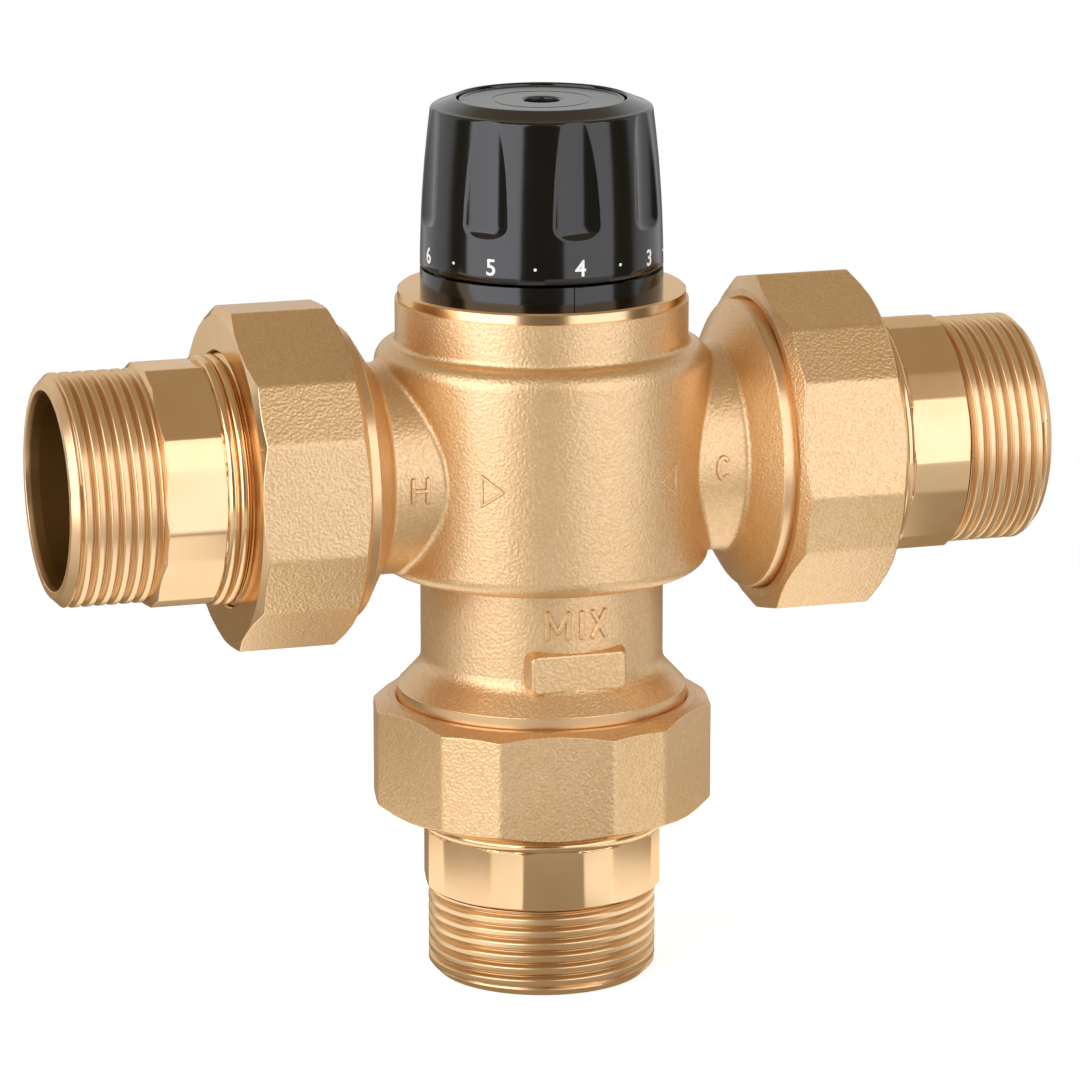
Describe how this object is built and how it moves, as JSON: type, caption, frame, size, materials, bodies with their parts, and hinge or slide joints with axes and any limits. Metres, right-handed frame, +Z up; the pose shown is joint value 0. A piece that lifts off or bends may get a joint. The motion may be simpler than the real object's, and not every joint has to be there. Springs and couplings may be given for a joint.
{
  "type": "thermostatic mixing valve",
  "caption": "Brass thermostatic mixing valve: hot and cold union inlets left and right, mixed outlet below, and a black adjusting knob with an index ring on top.",
  "frame": {"origin": "centre of the mixed outlet's end face, which the part stands on", "axes": "+Z up the outlet and spindle axis to the knob, +X from the hot inlet to the cold inlet, front at -Y"},
  "size_m": [0.184, 0.0618, 0.1628],
  "materials": {
    "brass_cast": "fine blasted",
    "brass_turned": "bright machined",
    "black_plastic": "glossy",
    "white_plastic": "satin",
    "stainless_steel": "bright",
    "rubber": "matte"
  },
  "bodies": {
    "valve": {"valve_body": "brass_cast", "hot_union_nut": "brass_cast", "cold_union_nut": "brass_cast", "mixed_union_nut": "brass_cast", "bonnet": "brass_turned", "hot_tailpiece": "brass_turned", "cold_tailpiece": "brass_turned", "mixed_tailpiece": "brass_turned", "index_ring": "black_plastic", "hot_check_housing": "white_plastic", "hot_check_guide": "white_plastic", "cold_check_housing": "white_plastic", "cold_check_guide": "white_plastic", "return_spring": "stainless_steel", "spring_seat": "stainless_steel", "spring_seat_retainer": "stainless_steel", "hot_strainer": "stainless_steel", "cold_strainer": "stainless_steel", "hot_check_spring": "stainless_steel", "cold_check_spring": "stainless_steel", "bonnet_seal": "rubber", "slide_seal": "rubber", "hot_gasket": "rubber", "cold_gasket": "rubber", "mixed_gasket": "rubber"},
    "knob_and_spindle": {"knob": "black_plastic", "knob_cap": "black_plastic", "knob_screw": "stainless_steel", "adjusting_spindle": "brass_turned", "spindle_clip": "stainless_steel", "spindle_seal_lower": "rubber", "spindle_seal_upper": "rubber"},
    "adjuster": {"adjuster_carrier": "brass_turned", "cup_clip": "stainless_steel", "overtravel_spring": "stainless_steel"},
    "overtravel": {"overtravel_cup": "brass_turned", "sensor_pin": "stainless_steel"},
    "shuttle": {"regulating_slide": "white_plastic", "sensor_element": "brass_turned"},
    "hot_check": {"hot_check_poppet": "white_plastic", "hot_check_seal": "rubber"},
    "cold_check": {"cold_check_poppet": "white_plastic", "cold_check_seal": "rubber"}
  },
  "joints": [
    {"name": "knob_turn", "type": "hinge", "parent": "valve", "child": "knob_and_spindle", "pos_m": [0, 0, 0.1465], "axis": [0, 0, 1], "range_deg": [-157.5, 157.5]},
    {"name": "adjuster_slide", "type": "slide", "parent": "valve", "child": "adjuster", "axis": [0, 0, 1], "range_m": [-0.00066, 0.00066], "deforming": ["return_spring"]},
    {"name": "overtravel_slide", "type": "slide", "parent": "adjuster", "child": "overtravel", "axis": [0, 0, 1], "range_m": [0, 0.0025], "stiffness_N_per_m": 1375, "deforming": ["overtravel_spring"]},
    {"name": "shuttle_slide", "type": "slide", "parent": "adjuster", "child": "shuttle", "axis": [0, 0, 1], "range_m": [-0.001, 0.001], "stiffness_N_per_m": 1850, "springref_m": 0.00025, "deforming": ["return_spring"]},
    {"name": "hot_check_slide", "type": "slide", "parent": "valve", "child": "hot_check", "axis": [1, 0, 0], "range_m": [0, 0.004], "stiffness_N_per_m": 500, "deforming": ["hot_check_spring"]},
    {"name": "cold_check_slide", "type": "slide", "parent": "valve", "child": "cold_check", "axis": [-1, 0, 0], "range_m": [0, 0.004], "stiffness_N_per_m": 500, "deforming": ["cold_check_spring"]}
  ],
  "couplings": [
    {"joint": "knob_turn", "follows": "adjuster_slide", "rad_per_m": -4188.8}
  ]
}
